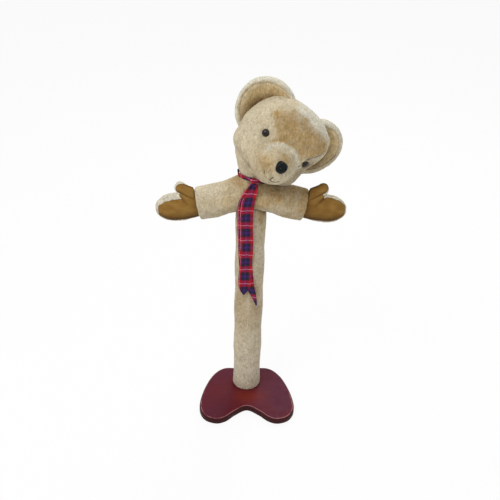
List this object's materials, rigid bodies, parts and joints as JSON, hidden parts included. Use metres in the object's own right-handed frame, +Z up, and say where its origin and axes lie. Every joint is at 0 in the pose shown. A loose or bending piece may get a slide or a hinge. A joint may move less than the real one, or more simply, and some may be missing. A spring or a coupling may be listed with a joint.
{
  "type": "teddy bear stand",
  "caption": "Floor-standing teddy bear on a padded post and lobed board, with outstretched arms that hold clothes and a head that lolls, nods and turns.",
  "frame": {"origin": "on the post's axis, at the floor under the base felt", "axes": "+Z up, the bear faces -Y, its left hand points along +X"},
  "size_m": [0.4826, 0.245, 0.9409],
  "materials": {
    "plush": "plush",
    "pale_plush": "plush",
    "suede": "suede",
    "stained_wood": "satin",
    "bare_wood": "matte",
    "foam": "matte",
    "felt": "matte",
    "steel": "satin",
    "black_plastic": "gloss",
    "brown_plastic": "gloss",
    "white_plastic": "matte",
    "hardboard": "matte",
    "thread": "matte",
    "tartan": "woven"
  },
  "bodies": {
    "stand": {"base_felt": "felt", "base_board": "stained_wood", "post_bolt": "steel", "post_washer": "steel", "post": "bare_wood", "post_padding": "foam", "post_sleeve": "plush", "cross_bar": "bare_wood", "cross_bar_screw": "steel", "torso": "plush", "left_arm": "plush", "right_arm": "plush", "left_palm": "suede", "left_mitt_back": "plush", "right_palm": "suede", "right_mitt_back": "plush", "neck": "plush", "post_eye": "steel", "ribbon_collar": "tartan", "ribbon_knot": "tartan", "ribbon_front_tail": "tartan", "ribbon_back_tail": "tartan"},
    "link": {"neck_link": "steel"},
    "pin": {"neck_pin": "steel", "neck_washer": "steel"},
    "head": {"neck_disc": "hardboard", "head": "plush", "muzzle": "pale_plush", "left_ear_lining": "plush", "left_ear_back": "plush", "right_ear_lining": "plush", "right_ear_back": "plush", "left_eye": "brown_plastic", "left_eye_washer": "white_plastic", "right_eye": "brown_plastic", "right_eye_washer": "white_plastic", "nose": "black_plastic", "nose_washer": "white_plastic", "mouth_stem": "thread", "mouth_left": "thread", "mouth_right": "thread"}
  },
  "joints": [
    {"name": "head_lean", "type": "hinge", "parent": "stand", "child": "link", "pos_m": [0, 0, 0.702], "axis": [0, 1, 0], "range_deg": [-55, 0], "deforming": ["neck"]},
    {"name": "head_nod", "type": "hinge", "parent": "link", "child": "pin", "pos_m": [0.00661, 0, 0.71016], "axis": [0.7771, 0, -0.6293], "range_deg": [-14, 14]},
    {"name": "head_turn", "type": "hinge", "parent": "pin", "child": "head", "pos_m": [0, 0, 0.702], "axis": [0.6293, 0, 0.7771], "range_deg": [-60, 60]}
  ]
}
